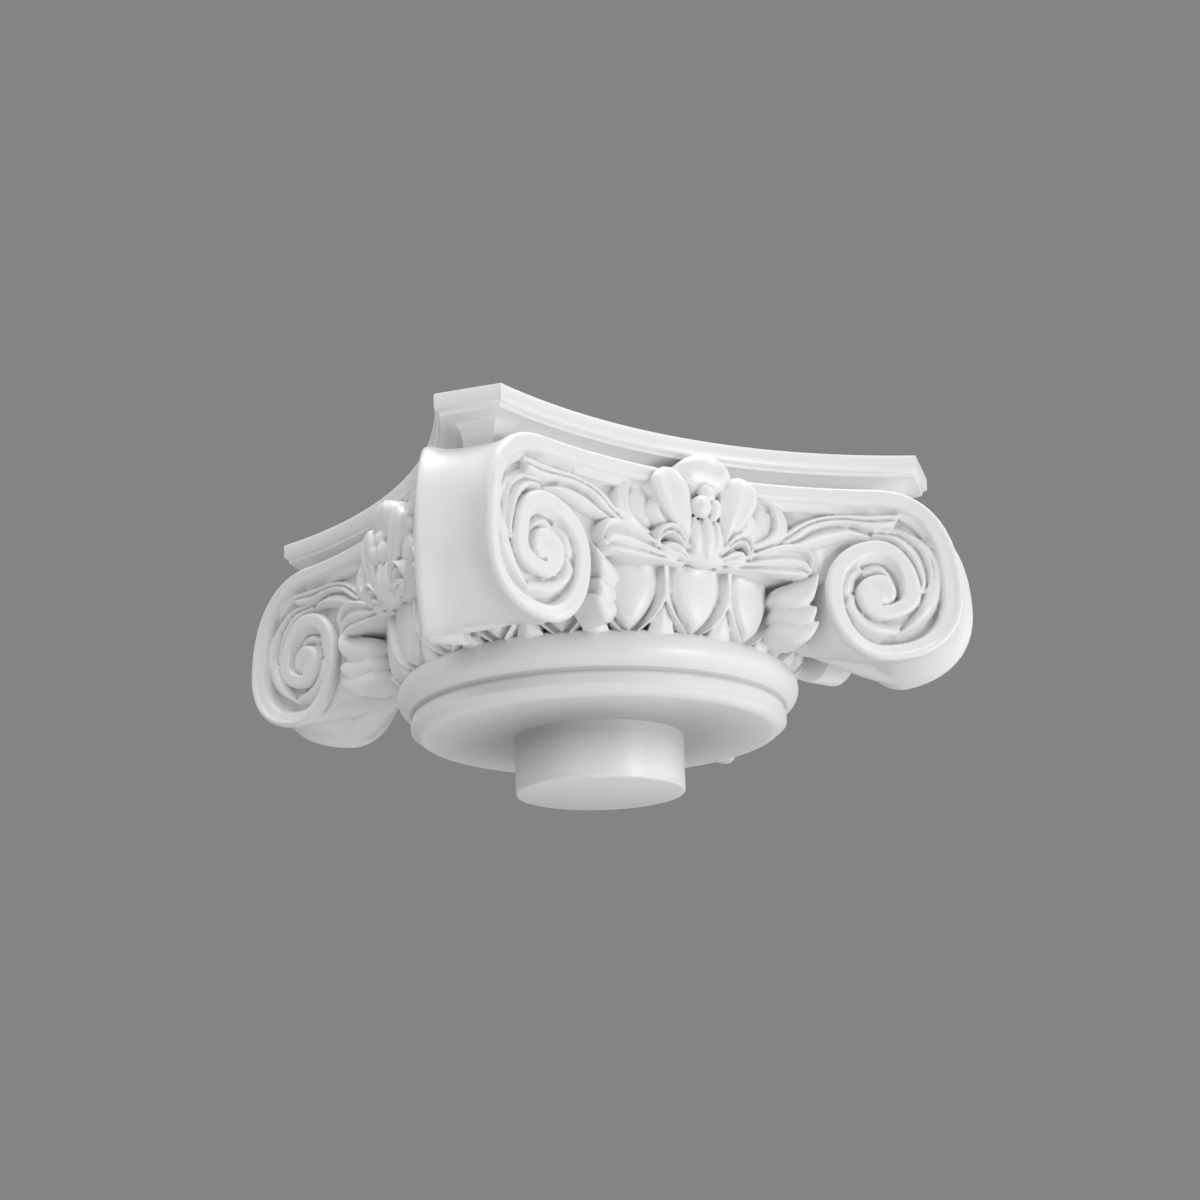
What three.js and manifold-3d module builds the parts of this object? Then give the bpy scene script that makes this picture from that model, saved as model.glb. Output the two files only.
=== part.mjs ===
// A diagonal Ionic column capital, cast in one piece: a round spigot and neck mouldings, an echinus of
// eggs, four corner volutes joined by concave carved faces, a flower on each face, and a concave abacus.
// Millimetres, +Z up. The origin is the centre of the spigot's flat underside. The front face looks along -Y.
import * as THREE from "three";
import { mergeVertices } from "three/addons/utils/BufferGeometryUtils.js";
import Module from "manifold-3d";

const wasm = await Module();
wasm.setup();

// Driving sizes
const HEIGHT = 178;
const SPIGOT_R = 50.3;
const SEAT_Z = 33.5;
const NECK_R = 111.5;
const TORUS_R = 120;
const TORUS_LOW_Z = 47.5;
const ECHINUS_Z = 68;
const ECHINUS_LOW_R = 110;
const ECHINUS_TOP_R = 122;
const EGG_COUNT = 20;

// The abacus: four concave arcs between horns that are cut square to the diagonals
const ABACUS_MID = 128.5;
const ABACUS_ARC_R = 308;
const HORN_REACH = 204;
const COVE_LOW_Z = 153;

// The carved face: a concave wall, nearly parallel to the abacus, with its floor sunk by RELIEF
const FACE_MID = 134;
const FACE_ARC_R = 300;
const RELIEF = 7;
const FACE_TOP_Z = 155;
const CHANNEL_LOW_Z = 101;

// The volute: a band whose outer edge passes these distances from the eye, a quarter turn apart,
// first above it and then clockwise
const EYE_X = 103.4;
const EYE_Z = 92.8;
const SPIRAL_REACH = [62.2, 42, 40, 30.5, 31.5, 21.3, 15.8, 13, 11, 8.6];
const SPIRAL_FULLNESS = 0.05;
const EYE_R = 8.4;
const RIM_HOLLOW = 3.2;

const QUARTER = Math.PI / 2;
const EMBED = 4;

// A solid from any three.js geometry, turned the right way out if its faces point in
function solid(geometry) {
  const bare = geometry.index ? geometry.toNonIndexed() : geometry.clone();
  bare.deleteAttribute("normal");
  bare.deleteAttribute("uv");
  const merged = mergeVertices(bare, 1e-4);
  const triVerts = new Uint32Array(merged.index.array);
  const vertProperties = merged.attributes.position.array;
  const made = new wasm.Manifold(new wasm.Mesh({ numProp: 3, vertProperties, triVerts }));
  if (made.volume() > 0) return made;
  for (let i = 0; i < triVerts.length; i += 3) {
    [triVerts[i + 1], triVerts[i + 2]] = [triVerts[i + 2], triVerts[i + 1]];
  }
  return new wasm.Manifold(new wasm.Mesh({ numProp: 3, vertProperties, triVerts }));
}

// A closed skin through rings of points, capped at both ends by a fan from the ring's middle
function loft(rings) {
  const count = rings[0].length;
  const points = rings.flat();
  const index = [];
  rings.slice(1).forEach((_, r) => {
    for (let i = 0; i < count; i++) {
      const j = (i + 1) % count;
      const [a, b, c, d] = [r * count + i, r * count + j, (r + 1) * count + i, (r + 1) * count + j];
      index.push(a, b, d, a, d, c);
    }
  });
  for (const [ring, start, flip] of [
    [rings[0], 0, true],
    [rings.at(-1), (rings.length - 1) * count, false],
  ]) {
    const middle = points.length;
    points.push(ring.reduce((sum, p) => sum.clone().add(p)).multiplyScalar(1 / count));
    for (let i = 0; i < count; i++) {
      const j = (i + 1) % count;
      index.push(middle, start + (flip ? j : i), start + (flip ? i : j));
    }
  }
  const geometry = new THREE.BufferGeometry().setFromPoints(points);
  geometry.setIndex(index);
  return geometry;
}

// A point of the front face: x along the wall, z up, and lift out of it along its normal
function onFace(x, z, lift = 0) {
  const turn = Math.asin(x / FACE_ARC_R);
  const reach = FACE_ARC_R - lift;
  return new THREE.Vector3(Math.sin(turn) * reach, Math.cos(turn) * reach - FACE_MID - FACE_ARC_R, z);
}

// The same point of the face round the corner to the right, mirrored in the diagonal
function acrossCorner(point) {
  return new THREE.Vector3(-point.y, -point.x, point.z);
}

// A point of the spiral's outer edge at a turn from the top, drawn in towards the eye by a share.
// Each quarter is a quarter of an ellipse about the eye, and the first two bulge a little past it.
function spiral(turn, share = 1) {
  const quarter = Math.min(Math.floor(turn / QUARTER + 1e-9), SPIRAL_REACH.length - 2);
  const along = turn - quarter * QUARTER;
  const bulge = quarter < 2 ? 1 + SPIRAL_FULLNESS * Math.sin(2 * along) ** 2 : 1;
  const from = SPIRAL_REACH[quarter] * Math.cos(along) * share * bulge;
  const to = SPIRAL_REACH[quarter + 1] * Math.sin(along) * share * bulge;
  const [sin, cos] = [Math.sin(quarter * QUARTER), Math.cos(quarter * QUARTER)];
  return [EYE_X + from * sin + to * cos, EYE_Z + from * cos - to * sin];
}

// How far in the band's inner edge lies, as a share of the outer edge's distance from the eye
function bandInner(turn) {
  const narrow = THREE.MathUtils.smoothstep(turn, 3.1 * QUARTER, 5 * QUARTER);
  return THREE.MathUtils.lerp(0.76, 0.46, narrow);
}

// How far the band's outer edge flares off the face on its way down the volute's outer side
function flare(turn) {
  return 2.5 * THREE.MathUtils.smoothstep(turn, 0, QUARTER) * (1 - THREE.MathUtils.smoothstep(turn, 2 * QUARTER, 3 * QUARTER));
}

// The plan of the concave square block at an inset from the abacus's edge, as points of one level
function concaveSquare(inset, z, steps = 5) {
  const radius = ABACUS_ARC_R + inset;
  const centre = ABACUS_MID + ABACUS_ARC_R;
  const horn = (HORN_REACH - inset) * Math.SQRT2;
  // The horn's cut is the line x - y = horn. It meets the arc where this turn from its middle is reached.
  const end = Math.asin((horn - centre) / (radius * Math.SQRT2)) + Math.PI / 4;
  const points = [];
  for (let side = 0; side < 4; side++) {
    for (let i = 0; i <= steps; i++) {
      const turn = THREE.MathUtils.lerp(-end, end, i / steps);
      const point = new THREE.Vector3(Math.sin(turn) * radius, Math.cos(turn) * radius - centre, z);
      points.push(point.applyAxisAngle(new THREE.Vector3(0, 0, 1), side * QUARTER));
    }
  }
  return points;
}

// Spigot, neck mouldings and the bell of the echinus, turned on the upright axis
function turnedCore() {
  const torusMid = (TORUS_LOW_Z + ECHINUS_Z) / 2;
  const torusHalf = (ECHINUS_Z - TORUS_LOW_Z) / 2;
  const profile = [
    [0, 0],
    [SPIGOT_R, 0],
    [SPIGOT_R, SEAT_Z],
    [NECK_R - 9, SEAT_Z],
    [NECK_R - 3, SEAT_Z + 1.2],
    [NECK_R, SEAT_Z + 4.2],
    [NECK_R, TORUS_LOW_Z],
  ];
  const torusSteps = 4;
  for (let i = 1; i <= torusSteps; i++) {
    const turn = THREE.MathUtils.lerp(-0.42, 0.5, i / torusSteps) * Math.PI;
    profile.push([TORUS_R - 10 + 10 * Math.cos(turn), torusMid + torusHalf * Math.sin(turn)]);
  }
  const bellMid = [THREE.MathUtils.lerp(ECHINUS_LOW_R, ECHINUS_TOP_R, 0.7), ECHINUS_Z + 12];
  profile.push([ECHINUS_LOW_R, ECHINUS_Z], bellMid, [ECHINUS_TOP_R, CHANNEL_LOW_Z + 3], [0, CHANNEL_LOW_Z + 3]);
  const turned = new THREE.LatheGeometry(profile.map(([r, z]) => new THREE.Vector2(r, z)), 32);
  return turned.rotateX(QUARTER);
}

// The abacus: fascia, a small step and a cove, down to the block behind the carving
function abacus() {
  const coveTopZ = 165.5;
  const coveInset = 2.8;
  const coveDeep = 11;
  const levels = [
    [0, HEIGHT],
    [0.4, 168.4],
    [coveInset, coveTopZ],
  ];
  const coveSteps = 3;
  for (let i = 1; i <= coveSteps; i++) {
    const turn = (i / coveSteps) * QUARTER;
    const drop = (coveTopZ - COVE_LOW_Z) * (1 - Math.cos(turn));
    levels.push([coveInset + coveDeep * Math.sin(turn), coveTopZ - drop]);
  }
  levels.push([coveInset + coveDeep, COVE_LOW_Z - 3]);
  return loft(levels.map(([inset, z]) => concaveSquare(inset, z)));
}

// The block whose wall is the floor of the carved channel
function channelBlock() {
  const inset = ABACUS_MID - FACE_MID + RELIEF;
  const levels = [
    [inset + 24, CHANNEL_LOW_Z],
    [inset, CHANNEL_LOW_Z + 4],
    [inset, FACE_TOP_Z - 1],
  ];
  return loft(levels.map(([level, z]) => concaveSquare(level, z)));
}

// A corner's two volutes and the roll between them, as one band swept down the spiral from face to face.
// Its rim is hollowed. Its inner edges stand proud of the floor of the channel.
function voluteRoll() {
  const across = (near, station) => near.clone().lerp(acrossCorner(near), station);
  const turnSteps = [];
  for (let turn = 0; turn < 4 * QUARTER - 0.01; turn += QUARTER / 4) turnSteps.push(turn);
  for (let turn = 4 * QUARTER; turn < 8.4 * QUARTER; turn += QUARTER / 2.2) turnSteps.push(turn);
  const rings = turnSteps.map((turn) => {
    const foot = onFace(...spiral(turn, bandInner(turn) * 0.94), -RELIEF - EMBED);
    const inner = onFace(...spiral(turn, bandInner(turn)));
    const outer = onFace(...spiral(turn), flare(turn));
    const rim = onFace(...spiral(turn, 1 - RIM_HOLLOW / SPIRAL_REACH[2]));
    return [foot, inner, outer].concat(
      [across(rim, 0.25), across(rim, 0.75)],
      [across(outer, 1), across(inner, 1), across(foot, 1)],
    );
  });
  return loft(rings);
}

// The plug inside the roll, whose two ends are the floor of the channel between the spiral's turns
function volutePlug() {
  const steps = 6;
  const end = [];
  for (let i = 0; i <= steps; i++) end.push(onFace(...spiral((4 * QUARTER * i) / steps, 0.86), -RELIEF));
  end.push(onFace(EYE_X - 20, EYE_Z + 44, -RELIEF));
  return loft([end, end.map(acrossCorner)]);
}

// Half of the straight band along the top of a face, from its middle to where the spiral starts
function bandHalf() {
  const steps = 4;
  const rings = [];
  for (let i = 0; i <= steps; i++) {
    const x = ((EYE_X + 2) * i) / steps;
    const innerZ = EYE_Z + SPIRAL_REACH[0] * bandInner(0);
    const sunk = -RELIEF - EMBED;
    rings.push([onFace(x, FACE_TOP_Z, sunk), onFace(x, FACE_TOP_Z), onFace(x, innerZ), onFace(x, innerZ - 3, sunk)]);
  }
  return loft(rings);
}

// The round eye at the spiral's middle
function voluteEye() {
  const levels = [
    [EYE_R, -RELIEF - EMBED],
    [EYE_R, -1],
    [EYE_R - 2, 0],
  ];
  const sides = 8;
  return loft(
    levels.map(([radius, lift]) =>
      Array.from({ length: sides }, (_, i) => {
        const turn = (i / sides) * 4 * QUARTER;
        return onFace(EYE_X + radius * Math.sin(turn), EYE_Z + radius * Math.cos(turn), lift);
      }),
    ),
  );
}

// A leaf or lobe: a sharp ridge along a path of [x, z, lift, half width, height], rooted in the face
function leaf(stations) {
  const rings = stations.map(([x, z, lift, half, height], i) => {
    const before = stations[Math.max(i - 1, 0)];
    const after = stations[Math.min(i + 1, stations.length - 1)];
    const along = new THREE.Vector2(after[0] - before[0], after[1] - before[1]).normalize();
    const root = (half * (height + EMBED)) / height;
    return [
      onFace(x - along.y * root, z + along.x * root, lift - EMBED),
      onFace(x, z, lift + height),
      onFace(x + along.y * root, z - along.x * root, lift - EMBED),
    ];
  });
  return loft(rings);
}

// The leaf sprays of half a face, outward from under the flower: [x, z, half width, height] on the floor
const SPRAYS = {
  longLeaf: [[36, 118, 4, 4], [68, 132, 7, 7], [114, 137, 2, 4]],
  scrollLeafOuter: [[104, 132, 4, 4], [126, 124, 6, 6], [129, 92, 6, 6], [108, 69, 2, 4]],
  scrollLeafInner: [[108, 71, 4, 4], [87, 78, 5, 5], [94, 108, 2, 4]],
};

// The leaf that lies over the eggs beside the flower, and the lobes between the eggs and the volute
const OVERHANGS = {
  lowLeaf: [[6, 105, 0, 4, 4], [34, 111, 0, 8, 4], [58, 111, 0, 8, 5], [72, 104, -1, 2, 4]],
  upperLobe: [[76, 100, -6, 4, 6], [59, 91, -6, 7, 8], [44, 86, -14, 3, 5]],
  middleLobe: [[73, 87, -6, 4, 6], [57, 78, -8, 7, 8], [42, 74, -16, 3, 5]],
  lowerLobe: [[72, 76, -6, 4, 6], [55, 67, -11, 7, 8], [40, 63, -19, 3, 5]],
};

// A petal of the flower: it leaves the heart at a turn from upright, rises off the face and widens
function petal(turn, length, half) {
  const heartZ = 128;
  const stations = [
    [0.1, -4, 0.35],
    [0.6, 3, 0.95],
    [1, 8, 0.7],
  ];
  const [alongX, alongZ] = [Math.sin(turn), Math.cos(turn)];
  const thick = 6;
  return loft(
    stations.map(([share, lift, wide]) => {
      const at = (side, rise) => {
        const [reach, spread] = [length * share, half * wide * side];
        return onFace(alongX * reach + alongZ * spread, heartZ + alongZ * reach - alongX * spread, lift + rise);
      };
      return [at(-1, 0), at(1, 0), at(0, -thick)];
    }),
  );
}

// A ball or drop on the face
function bead(x, z, lift, wide, tall, deep) {
  return new THREE.IcosahedronGeometry(1.1).scale(wide, deep, tall).translate(...onFace(x, z, lift).toArray());
}

// The flower: three broad petals above, two narrow ones below, a long heart and three beads
function flower() {
  const petals = [
    petal(0, 37, 15),
    petal(1.15, 31, 13),
    petal(-1.15, 31, 13),
    petal(2.1, 27, 7),
    petal(-2.1, 27, 7),
  ];
  const beads = [bead(0, 143, 8, 5, 5, 5), bead(-5, 136, 7, 5.5, 6, 6), bead(5, 136, 7, 5.5, 6, 6)];
  return [...petals, bead(0, 124, -1, 12, 18, 12), ...beads];
}

// An egg in its shell on the front of the echinus, turned into place by the caller
function egg() {
  const shellTop = CHANNEL_LOW_Z + 3;
  const shellDrop = 38;
  const outline = [[-18, 0], [-15.5, 22], [0, shellDrop], [15.5, 22], [18, 0]];
  const ring = (share, lift) =>
    outline.map(([x, drop]) => {
      const fall = (drop * share) / shellDrop;
      const lean = (1 - Math.sqrt(1 - fall * fall)) * (ECHINUS_TOP_R - ECHINUS_LOW_R);
      return new THREE.Vector3(x * share, lean - ECHINUS_TOP_R - lift, shellTop - drop * share);
    });
  return [loft([ring(1, -8), ring(1, 3)]), loft([ring(0.8, -6), ring(0.8, 4), ring(0.45, 7)])];
}

// One face's carving, mirrored about its middle where it is drawn for one half only
function faceCarving() {
  const sprays = Object.values(SPRAYS).map((path) => leaf(path.map(([x, z, ...size]) => [x, z, -RELIEF, ...size])));
  const half = [bandHalf(), voluteEye(), ...sprays, ...Object.values(OVERHANGS).map(leaf)];
  const mirrored = half.map((geometry) => geometry.clone().scale(-1, 1, 1));
  return [...half, ...mirrored, ...flower()];
}

function turnedAbout(geometries, count) {
  const turns = Array.from({ length: count }, (_, i) => (i * 4 * QUARTER) / count);
  return turns.flatMap((turn) => geometries.map((geometry) => geometry.clone().rotateZ(turn)));
}

const pieces = [
  turnedCore(),
  abacus(),
  channelBlock(),
  ...turnedAbout([voluteRoll(), volutePlug(), ...faceCarving()], 4),
  ...turnedAbout(egg(), EGG_COUNT),
];
// Pockets closed in between overlapping pieces are filled: only the outer skin is kept
const joinedSolid = wasm.Manifold.union(pieces.map(solid)).simplify(0.5);
const bodies = joinedSolid.decompose().sort((a, b) => b.volume() - a.volume());
const capitalSolid = bodies[0];

// Back from the joined solid to a three.js geometry
const joined = capitalSolid.getMesh();
const geometry = new THREE.BufferGeometry();
geometry.setAttribute("position", new THREE.BufferAttribute(new Float32Array(joined.vertProperties), 3));
geometry.setIndex(new THREE.BufferAttribute(new Uint32Array(joined.triVerts), 1));
geometry.computeVertexNormals();

const castWhite = new THREE.MeshStandardMaterial({ color: 0xe9e9e8, roughness: 0.42, metalness: 0 });
const capital = new THREE.Mesh(geometry, castWhite);
capital.name = "capital";

const part = new THREE.Group();
part.add(capital);
export default part;
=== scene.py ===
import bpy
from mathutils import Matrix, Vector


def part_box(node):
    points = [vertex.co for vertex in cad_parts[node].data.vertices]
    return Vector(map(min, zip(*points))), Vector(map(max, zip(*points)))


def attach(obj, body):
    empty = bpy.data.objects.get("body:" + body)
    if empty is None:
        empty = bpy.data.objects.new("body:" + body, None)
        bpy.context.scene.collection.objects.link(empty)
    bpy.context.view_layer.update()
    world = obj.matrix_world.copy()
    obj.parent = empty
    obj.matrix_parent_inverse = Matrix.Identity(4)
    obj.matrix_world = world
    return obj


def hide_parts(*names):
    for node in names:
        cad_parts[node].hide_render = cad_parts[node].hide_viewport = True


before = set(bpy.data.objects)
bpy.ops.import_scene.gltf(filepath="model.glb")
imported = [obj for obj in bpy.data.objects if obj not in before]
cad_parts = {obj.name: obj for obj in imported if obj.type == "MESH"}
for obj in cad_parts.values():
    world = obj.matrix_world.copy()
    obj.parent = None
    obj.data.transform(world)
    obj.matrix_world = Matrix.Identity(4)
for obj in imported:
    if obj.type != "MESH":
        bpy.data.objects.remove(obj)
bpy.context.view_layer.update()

from math import asin, atan2, cos, hypot, pi, radians, sin, sqrt

import bmesh
import bpy
from mathutils import Matrix, Vector

# The capital is modelled in millimetres and brought to metres at the end. +Z is up, the origin is the
# centre of the spigot's underside, and the front face looks along -Y.
MM = 0.001
low_corner, high_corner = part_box("capital")
HEIGHT = (high_corner[2] - low_corner[2]) / MM
QUARTER = pi / 2

# Spigot, seat, neck and torus
SPIGOT_R = 50.3
SPIGOT_ROUND = 1.4
SPIGOT_DRAFT = 0.3
SEAT_Z = 33.5
NECK_R = 111.5
NECK_ROUND = 9
NECK_FILLET = 0.6
TORUS_R = 120
TORUS_LOW_Z = 47.5
TORUS_TOP_Z = 69
TORUS_BULGE = 10.5

# The echinus and its eggs, whose half outlines are (fall from the top, half width)
BELL_LOW_Z = 64
BELL_TOP_Z = 104
BELL_LOW_R = 115
BELL_TOP_R = 127.5
EGG_COUNT = 20
EGG_HALF = [(0, 15), (12, 14.7), (20, 13), (27, 9.6), (32.5, 5.2), (37, 0.2)]
SHELL_HALF = [(0, 20.4), (9, 20.3), (18, 19.8), (26, 16.8), (34, 10.2), (41, 0.3)]
EGG_GROOVE = 7.5

# The abacus: the distance and radius of its concave sides, its horns, and the levels under its edge
ABACUS_MID = 128.5
ABACUS_ARC_R = 308
HORN_REACH = 204
ABACUS_ROUND = 1.6
FASCIA_LOW_Z = 169.6
FILLET_INSET = 3.0
COVE_TOP_Z = 165.4
COVE_IN = 11.5
COVE_FALL = 9.4
ABACUS_LOW_Z = 148

# The concave faces, and the channel wall that the carving stands on, RELIEF behind them
FACE_MID = 134
FACE_ARC_R = 300
FACE_TOP_Z = 155
RELIEF = 8.2
CHANNEL_LOW_Z = 101
CHANNEL_REACH = 178

# The volute: its eye, the spiral's reach at each quarter turn from the top, and the band that follows it
EYE_X = 103.4
EYE_Z = 92.8
SPIRAL_REACH = [62.2, 42, 40, 30.5, 31.5, 21.3, 15.8, 13, 11, 8.4, 7]
SPIRAL_FULLNESS = 0.05
OUTER_TURN = 4 * QUARTER
INNER_TURNS = 5.4 * QUARTER
BAND_FLAT = 9.6
BAND_FLAT_LOW = 9
BAND_COVE = 4.6
BAND_COVE_LOW = 1.6
BAND_COVE_SWELL = 1.8
BAND_STEP = 0.9
BAND_FLARE = 2.5
RIM_HOLLOW = 3.4
PLUG_SHARE = 0.88

# How far a form's foot goes into the wall, how finely and softly the carving is cast, and the angle
# past which an edge is sharp
EMBED = 4
VOXEL = 0.62
SOFTEN_SHARE = 0.5
SOFTEN_PASSES = 2
MOST_TRIANGLES = 176000
SHARP = radians(32)


def blend(a, b, share):
    return a + (b - a) * share


def ease(low, high, value):
    """A soft step from 0 at low to 1 at high."""
    share = min(max((value - low) / (high - low), 0), 1)
    return share * share * (3 - 2 * share)


def through(values, share):
    """A smooth curve through evenly spaced numbers or points, at a share of its length."""
    last = len(values) - 1
    i = min(int(share * last), last - 1)
    t = share * last - i
    a, b, c, d = (values[min(max(i + k, 0), last)] for k in (-1, 0, 1, 2))
    return b + (c - a + (a * 2 - b * 5 + c * 4 - d + (b * 3 - a - c * 3 + d) * t) * t) * (t * 0.5)


def on_face(x, z, lift=0.0):
    """A point of the front face: x along the wall, z up, and lift out of it along its normal."""
    turn = asin(x / FACE_ARC_R)
    reach = FACE_ARC_R - lift
    return Vector((sin(turn) * reach, cos(turn) * reach - FACE_MID - FACE_ARC_R, z))


def on_bell(x, z, lift=0.0):
    """A point of the echinus: x round it from the front's middle, z up, and lift out of it."""
    rise = min(max((BELL_TOP_Z - z) / (BELL_TOP_Z - BELL_LOW_Z), 0), 1)
    radius = BELL_LOW_R + (BELL_TOP_R - BELL_LOW_R) * sqrt(1 - rise * rise)
    turn = x / ((BELL_LOW_R + BELL_TOP_R) / 2)
    return Vector((sin(turn) * (radius + lift), -cos(turn) * (radius + lift), z))


def across_corner(point):
    """The same point of the face round the corner to the right, mirrored in the diagonal."""
    return Vector((-point.y, -point.x, point.z))


def spiral(turn, share=1.0):
    """A point of the volute's outer edge at a turn from the top, drawn in towards the eye by a share."""
    quarter = min(int(turn / QUARTER + 1e-9), len(SPIRAL_REACH) - 2)
    along = turn - quarter * QUARTER
    bulge = 1 + SPIRAL_FULLNESS * sin(2 * along) ** 2 if quarter < 2 else 1
    start = SPIRAL_REACH[quarter] * cos(along) * share * bulge
    end = SPIRAL_REACH[quarter + 1] * sin(along) * share * bulge
    side, up = sin(quarter * QUARTER), cos(quarter * QUARTER)
    return EYE_X + start * side + end * up, EYE_Z + start * up - end * side


def spiral_reach(turn):
    """How far the volute's outer edge is from its eye."""
    x, z = spiral(turn)
    return hypot(x - EYE_X, z - EYE_Z)


def skin(bm, rings):
    """Carries a closed loop of points through a row of places, and closes both ends."""
    verts = bmesh.ops.create_circle(bm, segments=len(rings[0]), radius=1)["verts"]
    verts = sorted(verts, key=lambda vert: atan2(vert.co.y, vert.co.x))
    edges = [bm.edges.get((verts[i - 1], verts[i])) for i in range(len(verts))]
    for vert, place in zip(verts, rings[0]):
        vert.co = place
    bmesh.ops.contextual_create(bm, geom=edges)
    for ring in rings[1:]:
        made = bmesh.ops.extrude_edge_only(bm, edges=edges)["geom"]
        fresh = {item for item in made if isinstance(item, bmesh.types.BMVert)}
        verts = [next(e.other_vert(v) for e in v.link_edges if e.other_vert(v) in fresh) for v in verts]
        edges = [bm.edges.get((verts[i - 1], verts[i])) for i in range(len(verts))]
        for vert, place in zip(verts, ring):
            vert.co = place
    bmesh.ops.contextual_create(bm, geom=edges)


def blade(bm, near, far, across, along, height, lift=(-RELIEF, -RELIEF), deep=EMBED, place=on_face,
          steps=20, ribs=12, across_tip=None):
    """A leaf, lobe or petal between two edges, each a few (x, z) points from its root to its tip.

    across and along are its height over its width and over its length, as shares of height. Where
    across_tip is given, the form over the width turns into it on the way to the tip. lift is the
    ground that it stands on, from root to tip, and deep is how far its foot goes under that.
    """
    near = [Vector(point) for point in near]
    far = [Vector(point) for point in far]
    rings = []
    for i in range(steps + 1):
        share = i / steps
        a, b = through(near, share), through(far, share)
        ground = through(lift, share)
        rise = through(along, share) * height
        ring = []
        for k in range(ribs + 1):
            x, z = a.lerp(b, k / ribs)
            bend = blend(through(across, k / ribs), through(across_tip or across, k / ribs), share)
            ring.append(place(x, z, ground + rise * bend))
        for side in (1, 0.5, 0):
            x, z = a.lerp(b, side)
            ring.append(place(x, z, ground - deep))
        rings.append(ring)
    skin(bm, rings)


def drop(bm, x, z, lift, wide, tall, deep, lean=0.0):
    """A ball or drop on the face, with its half width, half height and half depth."""
    verts = bmesh.ops.create_uvsphere(bm, u_segments=20, v_segments=14, radius=1)["verts"]
    for vert in verts:
        side, out, up = vert.co.x * wide, -vert.co.y * deep, vert.co.z * tall
        vert.co = on_face(x + side * cos(lean) + up * sin(lean), z + up * cos(lean) - side * sin(lean),
                          lift + out)


def arc(middle, radius, start, end, steps):
    """Points of an arc in a profile, its angles in degrees from outwards, as (r, z) pairs."""
    points = []
    for i in range(steps + 1):
        turn = radians(blend(start, end, i / steps))
        points.append((middle[0] + radius * cos(turn), middle[1] + radius * sin(turn)))
    return points


def turned(bm, profile):
    """A closed form spun from (r, z) points that start and end on the upright axis."""
    verts = [bm.verts.new((r, 0, z)) for r, z in profile]
    edges = [bm.edges.new(pair) for pair in zip(verts, verts[1:])]
    bmesh.ops.spin(bm, geom=verts + edges, cent=(0, 0, 0), axis=(0, 0, 1), angle=2 * pi, steps=160,
                   use_merge=True)


def neck(bm):
    """Spigot, seat and neck mouldings up to the torus under the eggs."""
    torus_mid = (TORUS_LOW_Z + TORUS_TOP_Z) / 2
    torus_half = (TORUS_TOP_Z - TORUS_LOW_Z) / 2
    profile = [(0, 0)]
    profile += arc((SPIGOT_R - SPIGOT_ROUND, SPIGOT_ROUND), SPIGOT_ROUND, -90, 0, 3)
    profile += [(SPIGOT_R + SPIGOT_DRAFT, SEAT_Z)]
    profile += arc((NECK_R - NECK_ROUND, SEAT_Z + NECK_ROUND), NECK_ROUND, -90, -35, 6)
    profile += [
        (NECK_R + 0.5, SEAT_Z + 5.2),
        (NECK_R + NECK_FILLET, SEAT_Z + NECK_ROUND),
        (NECK_R - NECK_FILLET, TORUS_LOW_Z - 1.2),
    ]
    for i in range(19):
        turn = radians(blend(-75, 90, i / 18))
        profile.append((TORUS_R - TORUS_BULGE + TORUS_BULGE * cos(turn), torus_mid + torus_half * sin(turn)))
    turned(bm, profile + [(0, TORUS_TOP_Z)])


def bell(bm):
    """The drum behind the eggs."""
    low_r = BELL_LOW_R - 9
    high_r = BELL_TOP_R - 12
    top_z = BELL_TOP_Z + 4
    turned(bm, [(0, BELL_LOW_Z), (low_r, BELL_LOW_Z), (low_r, BELL_LOW_Z + 10), (high_r, BELL_TOP_Z - 8),
                (high_r, top_z), (0, top_z)])


def concave_square(inset, z, reach=HORN_REACH, steps=30):
    """The four-sided plan at an inset from the abacus's edge, as the points of one level."""
    radius = ABACUS_ARC_R + inset
    centre = ABACUS_MID + ABACUS_ARC_R
    horn = (reach - inset) * sqrt(2)
    end = asin((horn - centre) / (radius * sqrt(2))) + pi / 4
    points = []
    for side in range(4):
        to_side = Matrix.Rotation(side * QUARTER, 3, "Z")
        for i in range(steps + 1):
            turn = blend(-end, end, i / steps)
            points.append(to_side @ Vector((sin(turn) * radius, cos(turn) * radius - centre, z)))
    return points


def abacus(bm):
    """Fascia with softened edges, a small step, a fillet and the deep cove above the volutes."""
    levels = [
        (ABACUS_ROUND, HEIGHT),
        (0.5, HEIGHT - 0.5),
        (0, HEIGHT - ABACUS_ROUND),
        (0.2, FASCIA_LOW_Z),
        (0.8, FASCIA_LOW_Z - 1),
        (2.2, FASCIA_LOW_Z - 1.6),
        (2.8, FASCIA_LOW_Z - 2.2),
        (FILLET_INSET, COVE_TOP_Z),
    ]
    for i in range(1, 11):
        turn = QUARTER * i / 10
        levels.append((FILLET_INSET + COVE_IN * sin(turn), COVE_TOP_Z - COVE_FALL * (1 - cos(turn))))
    under = FILLET_INSET + COVE_IN + 0.7
    levels += [(under, COVE_TOP_Z - COVE_FALL - 1.2), (under, ABACUS_LOW_Z)]
    skin(bm, [concave_square(inset, z) for inset, z in levels])


def channel_block(bm):
    """The wall that is the floor of the carved channel, with its ledge over the eggs."""
    inset = ABACUS_MID - FACE_MID + RELIEF
    levels = [
        (inset + 40, CHANNEL_LOW_Z - 2),
        (inset + 1.5, CHANNEL_LOW_Z),
        (inset, CHANNEL_LOW_Z + 1.5),
        (inset, FACE_TOP_Z - 1),
    ]
    skin(bm, [concave_square(level, z, reach=CHANNEL_REACH) for level, z in levels])


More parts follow.
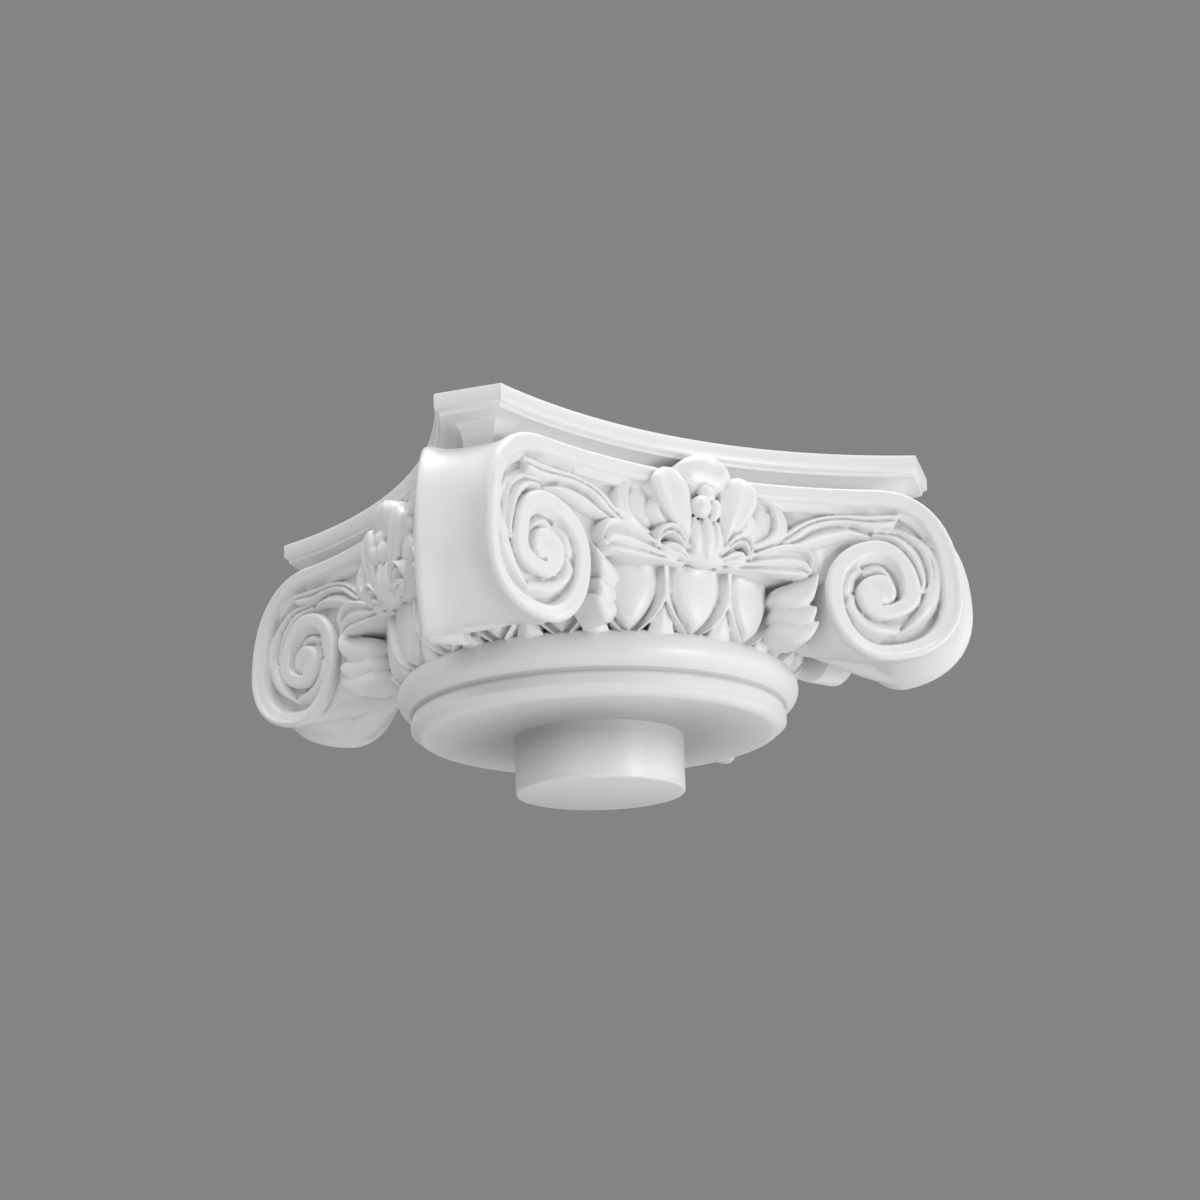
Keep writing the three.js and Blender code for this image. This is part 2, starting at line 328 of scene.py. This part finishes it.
def flare(turn):
    """How far the band's outer edge stands off the face on its way down the volute's outer side."""
    return BAND_FLARE * ease(0, QUARTER, turn) * (1 - ease(2 * QUARTER, 3 * QUARTER, turn))


def band_section(turn):
    """The raised band on one face, from its deep inner foot to its outer edge, as (share, lift)."""
    reach = spiral_reach(turn)
    flat = min(blend(BAND_FLAT, BAND_FLAT_LOW, ease(0, 2 * QUARTER, turn)), reach * 0.5)
    cove = blend(BAND_COVE, BAND_COVE_LOW, ease(0, 1.2 * QUARTER, turn))
    cove += BAND_COVE_SWELL * ease(3.2 * QUARTER, 4 * QUARTER, turn)
    cove -= BAND_COVE_SWELL * ease(4.2 * QUARTER, 4.8 * QUARTER, turn)
    step = BAND_STEP * (1 - ease(0, 1.6 * QUARTER, turn))
    rim = flare(turn)
    places = [
        (flat + cove + 1.5, -RELIEF - EMBED),
        (flat + cove + 0.6, -RELIEF),
        (flat + cove, -5.0),
        (flat + cove * 0.55, -3.4 - step * 0.4),
        (flat + cove * 0.15, -1.8 - step),
        (flat, -0.9 - step),
        (flat - 0.5, -0.25),
        (flat - 1.6, 0.0),
        (flat * 0.5, rim * 0.35 - 0.25),
        (3.2, rim * 0.8),
        (1.8, rim),
        (0.8, rim - 0.7),
        (0.15, rim - 2.1),
        (0.0, rim - 4.0),
    ]
    return [(1 - inwards / reach, lift) for inwards, lift in places]


def volute_roll(bm):
    """A corner's two volutes and the roll between them: one band swept down the spiral."""
    turns = [OUTER_TURN * i / 80 for i in range(80)]
    turns += [OUTER_TURN + INNER_TURNS * i / 84 for i in range(85)]
    rings = []
    for turn in turns:
        side = [on_face(*spiral(turn, share), lift) for share, lift in band_section(turn)]
        rim = []
        for i in range(1, 12):
            station = i / 12
            hollow = RIM_HOLLOW * (1 - abs(2 * station - 1) ** 3)
            point = on_face(*spiral(turn, 1 - hollow / spiral_reach(turn)), flare(turn) - 4.5)
            rim.append(point.lerp(across_corner(point), station))
        rings.append(side + rim + [across_corner(point) for point in reversed(side)])
    skin(bm, rings)


def volute_plug(bm):
    """The plug inside the roll, whose ends are the floor of the channel between the spiral's turns."""
    outline = [spiral(OUTER_TURN * i / 40, PLUG_SHARE) for i in range(41)]
    outline.append((EYE_X - 20, EYE_Z + 46))
    rings = []
    for share in (0.04, 0.35, 0.7, 1):
        rings.append([on_face(blend(EYE_X, x, share), blend(EYE_Z, z, share), -RELIEF) for x, z in outline])
    rings += [[across_corner(point) for point in ring] for ring in reversed(rings)]
    skin(bm, rings)


def volute_web(bm):
    """The web behind a volute, which runs straight back from the face and narrows towards the bell."""
    rings = []
    for back, aside, share in ((0.5, 0, 0.95), (14, 1, 0.89), (30, 3, 0.78), (48, 8, 0.62), (66, 14, 0.48)):
        ring = []
        for i in range(37):
            x, z = spiral(QUARTER + 3 * QUARTER * i / 36, share)
            ring.append(on_face(x, z, -RELIEF) + Vector((-aside, back, 0)))
        rings.append(ring)
    skin(bm, rings)


def straight_band(bm):
    """Half of the band along the top of a face, from its middle to where the spiral starts."""
    section = [((1 - share) * spiral_reach(0), lift) for share, lift in band_section(0)]
    foot = -RELIEF - 14
    rings = []
    for i in range(25):
        x = (EYE_X + 0.5) * i / 24
        ring = [on_face(x, EYE_Z + SPIRAL_REACH[0] - inwards, lift) for inwards, lift in section]
        rings.append(ring + [on_face(x, FACE_TOP_Z, foot), on_face(x, FACE_TOP_Z - 16, foot)])
    skin(bm, rings)


def volute_eye(bm):
    """The round end of the spiral, which closes on itself with a small step."""
    outline = [spiral(6 * QUARTER + 4 * QUARTER * i / 60) for i in range(61)]
    dome = ((1, -RELIEF - EMBED), (1, -3.2), (0.95, -1.8), (0.8, -1.0), (0.45, -0.4), (0.1, -0.2))
    rings = []
    for share, lift in dome:
        rings.append([on_face(blend(EYE_X, x, share), blend(EYE_Z, z, share), lift) for x, z in outline])
    skin(bm, rings)


def scroll_leaves(bm):
    """The leaves that lie along the channel between the volute's turns."""
    blade(bm, [(104, 131.5), (117, 131), (128, 122), (132, 108), (130, 97), (123, 91)],
          [(101, 127.5), (111, 124), (119, 115), (123, 104), (124.5, 96), (122, 90.5)],
          across=(0.5, 1, 0.35, 0.8, 0.95, 0.2), along=(0.4, 0.9, 1, 1, 0.9, 0.6), height=7)
    blade(bm, [(114, 135), (128, 125.5), (136, 110), (137, 96), (130, 80), (111, 67.5)],
          [(112, 132), (124, 123), (131, 109), (125, 93), (119, 80), (111, 69.5)],
          across=(0.2, 0.85, 1, 0.8, 0.2), along=(0.3, 0.7, 0.85, 1, 1, 0.5), height=6.5)
    blade(bm, [(85, 92.5), (82.6, 84), (89, 73.5), (99, 67.8), (112, 68)],
          [(91, 92), (91.5, 85.5), (96, 79.5), (104, 76.6), (113, 76)],
          across=(0.2, 0.9, 1, 0.75, 0.15), along=(0.7, 1, 1, 0.9, 0.5), height=6.5)
    blade(bm, [(83, 86), (81.8, 96), (86, 105), (93.5, 110)],
          [(84, 86.5), (90.5, 94), (91.5, 101), (95.5, 106)],
          across=(0.3, 0.9, 1, 0.7, 0.2), along=(0.5, 1, 1, 0.5), height=5)
    blade(bm, [(95, 108.5), (101, 111), (107, 109), (111.5, 101)],
          [(96, 104), (101, 105.2), (106, 103.8), (110.5, 100)],
          across=(0.3, 1, 0.9, 0.3), along=(0.5, 1, 1, 0.4), height=4.5)


def long_leaves(bm):
    """Two leaves from the flower out along the top band, and the crescent and panel by the flower."""
    blade(bm, [(40, 117), (53, 127.5), (63, 134.5), (78, 139.3), (98, 140.3), (117.5, 140.5)],
          [(44, 115), (59, 123), (72, 131), (88, 133.6), (103, 130.6), (113, 132.3)],
          across=(0.5, 0.95, 0.55, 0.9, 0.85, 0.3), along=(0.5, 0.8, 1, 1, 1, 1.1), height=7)
    blade(bm, [(46, 117), (60, 123.5), (74, 131), (88, 132.6), (100.5, 128.5)],
          [(46, 115), (62, 118.5), (75, 121.5), (88, 125.6), (100, 127)],
          across=(0.25, 0.7, 1, 0.7, 0.3), along=(0.6, 0.9, 1, 1, 0.5), height=6)
    blade(bm, [(32, 111), (45, 116.5), (53.3, 124.5), (54.5, 134), (50.5, 143)],
          [(27, 118), (37, 121.2), (43.6, 127), (45, 134.5), (43, 143)],
          across=(0.3, 0.75, 0.8, 0.85, 1, 0.95, 0.4), along=(0.6, 0.95, 1, 1, 0.8), height=6.5)
    drop(bm, 35, 132, lift=-7, wide=11, tall=13.5, deep=3.2)


def low_leaf(bm):
    """The broad leaf over the eggs beside the flower: a thin raised rim round a curled rib."""
    blade(bm, [(10, 106), (28, 111), (40, 116), (53, 119.8), (62.5, 118), (66.5, 110), (64, 102)],
          [(10, 101.5), (24, 101.3), (36, 101), (47, 100.6), (56, 100.6), (61, 100.8), (62.5, 101.4)],
          across=(0.2, 1, 0.85, 0.45, 0.35, 0.4, 0.7, 0.95, 0.6, 0.35, 0.5, 0.75, 0.75),
          along=(0.5, 0.9, 1, 1, 1, 0.95, 0.8), height=5.6,
          lift=(-6.5, -5, -3.8, -3.2, -3, -3, -4), deep=7, ribs=34, steps=30)


def palmette(bm):
    """The half palmette beside the eggs: three curled fingers, each lapped by the one above."""
    fingers = (
        ([(46.5, 92), (49, 97), (56, 99), (63, 101), (67.5, 103), (70.5, 105)],
         [(46.5, 89), (50, 85), (58, 83), (65, 87), (68, 94), (70.5, 104)]),
        ([(47, 83), (50, 88), (57, 87.5), (63, 87), (66, 86), (68.5, 85.5)],
         [(47, 79), (51, 75.4), (58, 71.8), (64, 74), (67, 79), (68.5, 85)]),
        ([(46, 75), (49, 79), (56, 78.5), (63, 78), (67, 77.6), (70, 77.3)],
         [(46, 71), (49.6, 67.7), (56.4, 63.5), (62.7, 65.3), (67, 70.5), (70, 76.8)]),
    )
    lap = 1.3
    for i, (upper, lower) in enumerate(fingers):
        ground = [level - lap * i for level in (-22, -18, -12.5, -9.5, -8.5, -8.5)]
        blade(bm, upper, lower, across=(0.3, 0.7, 0.92, 1, 0.97, 0.65), along=(0.85, 1, 1, 1, 0.9, 0.5),
              height=9, lift=ground, deep=14, ribs=18)


def flower_side(bm, side, folds):
    """The flower's tall petal and small curled leaves on one side, which is -1 or 1."""

    def half(points):
        return [(side * x, z) for x, z in points]

    blade(bm, half([(10, 108), (9.5, 119), (9, 130), (9.5, 141), (12.5, 148.5), (19, 153.8)]),
          half([(12, 108), (17.5, 118), (25, 127), (31.5, 136.5), (33, 146.5), (27, 153.8)]),
          across=folds, along=(0.6, 0.9, 1, 1, 0.95, 0.75), height=7.5,
          lift=(-4, -2, -1, -0.5, -0.5, -1), deep=8, ribs=24, steps=34)
    blade(bm, half([(14, 119), (22, 124), (28, 131), (29, 142), (25, 152)]),
          half([(17, 116.5), (29, 121.5), (34.5, 129), (32.3, 136), (36, 142), (35, 149.5), (29, 154)]),
          across=(0.8, 1, 0.85, 0.35), along=(0.8, 1, 1, 0.8), height=5,
          lift=(-6, -4.8, -4.2, -5.2, -4.4, -4.6), deep=6)
    blade(bm, half([(7, 106), (13, 115), (19, 121), (26, 121.5), (31, 116), (30, 108)]),
          half([(9, 105.5), (15, 111), (20, 114.3), (24, 115), (26.8, 112.5), (27, 109)]),
          across=(0.2, 1, 0.9, 0.4, 0.75, 0.1), along=(0.4, 0.9, 1, 1, 0.9, 0.5), height=7,
          lift=(-4, -1.5, -0.5, -1, -2.5, -4), deep=7, ribs=16)
    blade(bm, half([(9, 105.5), (15, 109.8), (20, 112), (24, 111.6), (26.5, 109)]),
          half([(9, 103), (14, 103.5), (19, 104.5), (23.5, 105.5), (27, 106.5)]),
          across=(0.15, 1, 0.8, 0.3, 0.6, 0.1), along=(0.5, 1, 1, 0.9, 0.4), height=5.5,
          lift=(-3, -2, -2, -2.5, -4), deep=6, ribs=14)
    drop(bm, 19.5 * side, 108, lift=-4, wide=9, tall=5.5, deep=4.5)


def berry_flower(bm):
    """The flower on the middle of a face: petals round a throat, three berries and a ribbed bud."""
    blade(bm, [(-8, 138), (-11, 144.5), (-16.2, 152), (-14.5, 159), (-6, 164.5)],
          [(8, 138), (12, 143.5), (16.5, 150.5), (15.2, 158.5), (7.5, 164)],
          across=(0.5, 0.85, 0.8, 0.88, 1, 0.92, 0.5), along=(0.3, 0.75, 0.95, 1, 0.75), height=9,
          lift=(-5, -2.5, -1, -1, -1.5), deep=8, ribs=24, steps=28,
          across_tip=(0.55, 0.8, 1, 1, 0.85, 0.95, 0.5))
    flower_side(bm, -1, folds=(0.6, 0.92, 1, 0.9, 0.8, 0.86, 0.62))
    flower_side(bm, 1, folds=(0.65, 0.75, 0.86, 1, 0.88, 0.76, 0.8, 0.55))
    drop(bm, 0, 115.5, lift=-1, wide=11.4, tall=13.5, deep=7)
    bud_ribs = ((-6.8, 11.3, 1.6, 3.9), (0.2, 12.6, 3.2, 4.2), (6.4, 10.8, 1.8, 2.9), (9.6, 9, -0.6, 2.2))
    for x, tall, lift, wide in bud_ribs:
        drop(bm, x, 116.5, lift=lift, wide=wide, tall=tall, deep=4.6, lean=x * 0.006)
    drop(bm, 0, 106, lift=-3, wide=13, tall=5.5, deep=6)
    drop(bm, 0, 137, lift=-6, wide=10, tall=14, deep=6)
    drop(bm, -4.2, 133, lift=5.6, wide=5.9, tall=6.4, deep=5.5)
    drop(bm, 4.7, 132.3, lift=4.4, wide=4, tall=6.4, deep=5, lean=0.15)
    drop(bm, 0.2, 141, lift=4.6, wide=4.9, tall=6, deep=4.6, lean=-0.3)


def egg(bm):
    """One egg in its shell on the echinus, with the small dart to its right."""

    def outline(half, sign):
        return [(sign * width, BELL_TOP_Z - fall) for fall, width in half]

    rim = (1, 1, 0.7, 0.35, 0.08)
    groove = -EGG_GROOVE
    blade(bm, outline(SHELL_HALF, -1), outline(SHELL_HALF, 1),
          across=rim + (0,) * 15 + rim[::-1], along=(1, 1), height=EGG_GROOVE + 1,
          lift=(groove, groove), deep=9, place=on_bell, ribs=48, steps=26)
    blade(bm, outline(EGG_HALF, -1), outline(EGG_HALF, 1),
          across=(0.45, 0.82, 0.93, 0.98, 1, 0.98, 0.93, 0.82, 0.45),
          along=(0.92, 0.95, 1, 1.06, 1.02, 0.35), height=EGG_GROOVE,
          lift=(groove, groove, groove, groove, groove + 0.5, groove + 1), deep=3, place=on_bell,
          ribs=24, steps=28)
    between = pi * (BELL_LOW_R + BELL_TOP_R) / 2 / EGG_COUNT
    blade(bm, [(between - 0.5, 86), (between - 4.5, 75), (between - 10, 62)],
          [(between + 0.5, 86), (between + 4.5, 75), (between + 10, 62)],
          across=(0.35, 0.7, 1, 0.7, 0.35), along=(0.6, 0.9, 1), height=4.5,
          lift=(-7, -5.5, -4), deep=6, place=on_bell)


def copies(bm, count, mirrored=False):
    """Repeats the whole mesh round the upright axis, first mirrored in the face's middle if asked."""
    if mirrored:
        twin = bmesh.ops.duplicate(bm, geom=bm.verts[:] + bm.edges[:] + bm.faces[:])["geom"]
        bmesh.ops.scale(bm, verts=[v for v in twin if isinstance(v, bmesh.types.BMVert)], vec=(-1, 1, 1))
    original = bm.verts[:] + bm.edges[:] + bm.faces[:]
    for i in range(1, count):
        twin = bmesh.ops.duplicate(bm, geom=original)["geom"]
        verts = [v for v in twin if isinstance(v, bmesh.types.BMVert)]
        bmesh.ops.rotate(bm, verts=verts, matrix=Matrix.Rotation(2 * pi * i / count, 3, "Z"))


def shape(builders, count=1, mirrored=False):
    """A mesh of the given forms, repeated as asked."""
    bm = bmesh.new()
    for build in builders:
        build(bm)
    copies(bm, count, mirrored)
    bmesh.ops.recalc_face_normals(bm, faces=bm.faces)
    for edge in bm.edges:
        edge.smooth = edge.calc_face_angle(0) < SHARP
    mesh = bpy.data.meshes.new("forms")
    bm.to_mesh(mesh)
    bm.free()
    return mesh


def joined(name, meshes):
    """One mesh of several. Those that no object uses are deleted."""
    bm = bmesh.new()
    for mesh in meshes:
        bm.from_mesh(mesh)
        if not mesh.users:
            bpy.data.meshes.remove(mesh)
    for face in bm.faces:
        face.smooth = True
    whole = bpy.data.meshes.new(name)
    bm.to_mesh(whole)
    bm.free()
    whole.validate()
    return whole


def change_mesh(piece, mesh):
    """Gives the piece another mesh, and deletes the one it had."""
    before = piece.data
    piece.data = mesh
    bpy.data.meshes.remove(before)


def apply_modifiers(piece):
    """Keeps the mesh that the piece's modifiers make, and drops the modifiers."""
    ready = piece.evaluated_get(bpy.context.evaluated_depsgraph_get())
    made = bpy.data.meshes.new_from_object(ready)
    piece.modifiers.clear()
    change_mesh(piece, made)


def cast(name, carved, clean):
    """A piece in metres: the carved forms fused and softened as in a mould, and the clean ones as made."""
    piece = bpy.data.objects.new(name, joined("carving", carved))
    bpy.context.scene.collection.objects.link(piece)
    fuse = piece.modifiers.new("fuse", "REMESH")
    fuse.mode = "VOXEL"
    fuse.voxel_size = VOXEL
    soften = piece.modifiers.new("soften", "SMOOTH")
    soften.factor = SOFTEN_SHARE
    soften.iterations = SOFTEN_PASSES
    apply_modifiers(piece)
    thin = piece.modifiers.new("thin", "DECIMATE")
    piece.data.calc_loop_triangles()
    thin.ratio = MOST_TRIANGLES / len(piece.data.loop_triangles)
    apply_modifiers(piece)
    change_mesh(piece, joined(name, [piece.data] + clean))
    piece.data.transform(Matrix.Scale(MM, 4))
    return piece


class Socket:
    """A material socket whose sums and products add Math nodes."""

    def __init__(self, tree, link):
        self.tree = tree
        self.link = link

    def math(self, kind, a, b):
        return node(self.tree, "ShaderNodeMath", {"operation": kind}, {0: a, 1: b})

    def __mul__(self, other):
        return self.math("MULTIPLY", self, other)

    def __add__(self, other):
        return self.math("ADD", self, other)

    __rmul__ = __mul__
    __radd__ = __add__


def node(tree, kind, settings=None, values=None, output=0):
    """Adds a node with its settings, then the values or links of its sockets."""
    made = tree.nodes.new(kind)
    for key, value in (settings or {}).items():
        if key == "stops":
            for element, (position, shade) in zip(made.color_ramp.elements, value):
                element.position = position
                element.color = (shade, shade, shade, 1)
        else:
            setattr(made, key, value)
    for key, value in (values or {}).items():
        if isinstance(value, Socket):
            tree.links.new(value.link, made.inputs[key])
        else:
            made.inputs[key].default_value = value
    return Socket(tree, made.outputs[output])


# Where a Mix node keeps the sockets that it uses for colours
MIX_SHARE = 0
MIX_FIRST = 6
MIX_SECOND = 7
MIX_RESULT = 2

WHITE = (0.84, 0.84, 0.836, 1)
# Painted shade: the grey that the white is mixed towards in the creases and hollows of the carving
PAINTED_SHADE_GREY = (0.36, 0.36, 0.35, 1)
PAINTED_SHADE_STRENGTH = 0.7
SATIN = 0.28


def cast_white():
    """Satin white primer on a cast, a little uneven in its gloss, with painted shade that darkens it to grey
    down in the carving.
    """
    material = bpy.data.materials.new("satin_white_cast")
    material.use_nodes = True
    tree = material.node_tree
    surface = tree.nodes["Principled BSDF"]
    place = node(tree, "ShaderNodeTexCoord", output="Object")
    cloud = node(tree, "ShaderNodeTexNoise", None, {"Vector": place, "Scale": 14.0, "Detail": 3.0})
    speck = node(tree, "ShaderNodeTexNoise", None, {"Vector": place, "Scale": 900.0, "Detail": 2.0})
    bend = node(tree, "ShaderNodeNewGeometry", output="Pointiness")
    # Painted shade: where the surface bends inwards, in the carving's creases, the colour is mixed towards
    # grey
    hollow = node(tree, "ShaderNodeValToRGB", {"stops": ((0.45, 1.0), (0.492, 0.0))}, {"Fac": bend})
    colours = {MIX_SHARE: hollow * PAINTED_SHADE_STRENGTH, MIX_FIRST: WHITE, MIX_SECOND: PAINTED_SHADE_GREY}
    shade = node(tree, "ShaderNodeMix", {"data_type": "RGBA"}, colours, output=MIX_RESULT)
    tree.links.new(shade.link, surface.inputs["Base Color"])
    rough = SATIN + cloud * 0.08 + speck * 0.06
    tree.links.new(rough.link, surface.inputs["Roughness"])
    bump = node(tree, "ShaderNodeBump", None, {"Height": speck, "Strength": 0.04, "Distance": 0.0002})
    tree.links.new(bump.link, surface.inputs["Normal"])
    return material


def plain(name, colour, roughness):
    """A material that is the same all over."""
    material = bpy.data.materials.new(name)
    material.use_nodes = True
    surface = material.node_tree.nodes["Principled BSDF"]
    surface.inputs["Base Color"].default_value = (*colour, 1)
    surface.inputs["Roughness"].default_value = roughness
    return material


carved_half = [volute_web, straight_band, volute_eye, scroll_leaves, long_leaves, low_leaf, palmette]
carving = [
    shape([bell, channel_block]),
    shape([volute_roll, volute_plug], count=4),
    shape(carved_half, count=4, mirrored=True),
    shape([berry_flower], count=4),
    shape([egg], count=EGG_COUNT),
]
capital = cast("cast_capital", carving, clean=[shape([neck, abacus])])
capital.data.materials.append(cast_white())
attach(capital, "root")
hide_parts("capital")

# The floor lies below the camera, which looks up at the capital
FLOOR_Z = -0.42
FLOOR_SIZE = 6


def pale_floor():
    """A plain square of floor."""
    bm = bmesh.new()
    bmesh.ops.create_grid(bm, x_segments=1, y_segments=1, size=FLOOR_SIZE)
    bmesh.ops.translate(bm, verts=bm.verts, vec=(0, 0, FLOOR_Z))
    mesh = bpy.data.meshes.new("floor")
    bm.to_mesh(mesh)
    bm.free()
    made = bpy.data.objects.new("floor", mesh)
    bpy.context.scene.collection.objects.link(made)
    made.data.materials.append(plain("pale_floor", (0.72, 0.72, 0.72), 0.9))
    return made


floor = pale_floor()

# The photo's camera: below the part and to the left of its front, rolled a little. Its focal length
# and the photo's side are in the photo's pixels.
CAMERA_AZIMUTH = radians(26.9)
CAMERA_BELOW = radians(17.4)
CAMERA_ROLL = radians(-1.6)
CAMERA_AWAY = 1133.1 * MM
CAMERA_AIM = Vector((3.1, 0, 121.0)) * MM
PHOTO_FOCUS = 1849.9
PHOTO_SIDE = 1200
SENSOR_SIDE = 36

level_share = cos(CAMERA_BELOW)
back = Vector((-sin(CAMERA_AZIMUTH) * level_share, -cos(CAMERA_AZIMUTH) * level_share, -sin(CAMERA_BELOW)))
right = (-back).cross(Vector((0, 0, 1))).normalized()
upward = right.cross(-back)
rolled_right = right * cos(CAMERA_ROLL) + upward * sin(CAMERA_ROLL)
rolled_up = upward * cos(CAMERA_ROLL) - right * sin(CAMERA_ROLL)
camera = bpy.data.objects.new("camera", bpy.data.cameras.new("camera"))
bpy.context.scene.collection.objects.link(camera)
camera.matrix_world = Matrix.Translation(CAMERA_AIM + back * CAMERA_AWAY) @ Matrix(
    (rolled_right, rolled_up, back)).transposed().to_4x4()
camera.data.sensor_width = SENSOR_SIDE
camera.data.lens = PHOTO_FOCUS / PHOTO_SIDE * SENSOR_SIDE
camera.data.clip_start = 0.05
camera.data.clip_end = 100
bpy.context.scene.camera = camera


def soft_light(name, place, side, power):
    """A square softbox that faces the middle of the capital."""
    light = bpy.data.lights.new(name, "AREA")
    light.size = side
    light.energy = power
    lamp = bpy.data.objects.new(name, light)
    bpy.context.scene.collection.objects.link(lamp)
    lamp.location = place
    lamp.rotation_euler = (CAMERA_AIM - Vector(place)).to_track_quat("-Z", "Y").to_euler()


# Soft light from above and round the front, the strongest from straight above and from low in front
BIG_BOX = 0.9
SMALL_BOX = 0.45
soft_light("overhead", (0.0, 0.0, 1.62), BIG_BOX, 18)
soft_light("low_front", (0.5, -1.38, -0.19), SMALL_BOX, 7.5)
soft_light("low_right", (1.27, -0.73, -0.19), BIG_BOX, 4.5)
soft_light("left", (-1.15, -0.81, 0.63), BIG_BOX, 4.2)
soft_light("high_right", (0.8, -0.46, 1.3), BIG_BOX, 5)
soft_light("high_left", (-0.92, 0.08, 1.3), BIG_BOX, 5)

# The photo's plain grey background, which also fills the shadows
BACKDROP = (0.2335, 0.231, 0.2235, 1)
world = bpy.data.worlds.new("studio")
bpy.context.scene.world = world
world.use_nodes = True
world.node_tree.nodes["Background"].inputs["Color"].default_value = BACKDROP
bpy.context.scene.view_settings.view_transform = "Standard"
